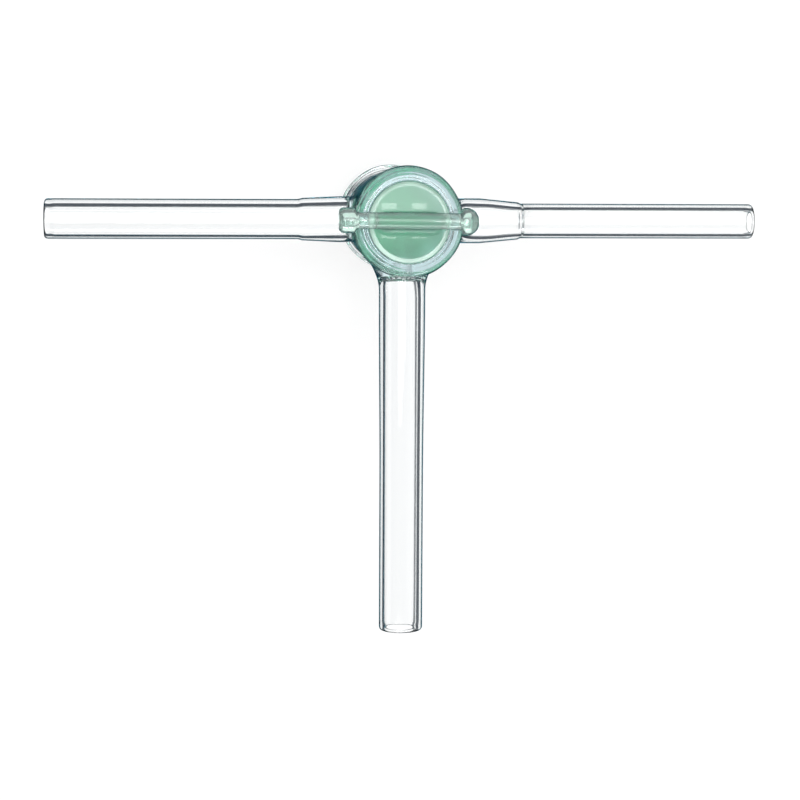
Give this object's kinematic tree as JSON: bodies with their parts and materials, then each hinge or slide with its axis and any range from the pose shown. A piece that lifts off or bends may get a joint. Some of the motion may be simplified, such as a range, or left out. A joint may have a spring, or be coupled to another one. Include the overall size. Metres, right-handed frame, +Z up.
{
  "type": "glass stopcock",
  "caption": "Three-way glass stopcock: a barrel with three tube arms and a tapered glass plug, turned by a cross handle, whose T-shaped bore joins the arms.",
  "frame": {"origin": "centre of the barrel's foot, on the plug's axis", "axes": "+Z up along the barrel towards the handle, +X along the narrow side arm, -X along the wide side arm, -Y along the long arm"},
  "size_m": [0.1677, 0.1112, 0.0581],
  "materials": {
    "clear_glass": "drawn and blown borosilicate glass, fire-polished at the tube ends",
    "green_glass": "pressed green-tinted glass with a ground and polished taper"
  },
  "bodies": {
    "shell": {"shell": "clear_glass"},
    "plug": {"plug": "green_glass"}
  },
  "joints": [
    {"name": "plug_turn", "type": "hinge", "parent": "shell", "child": "plug", "pos_m": [0, 0, 0.03], "axis": [0, 0, 1], "continuous": true}
  ]
}
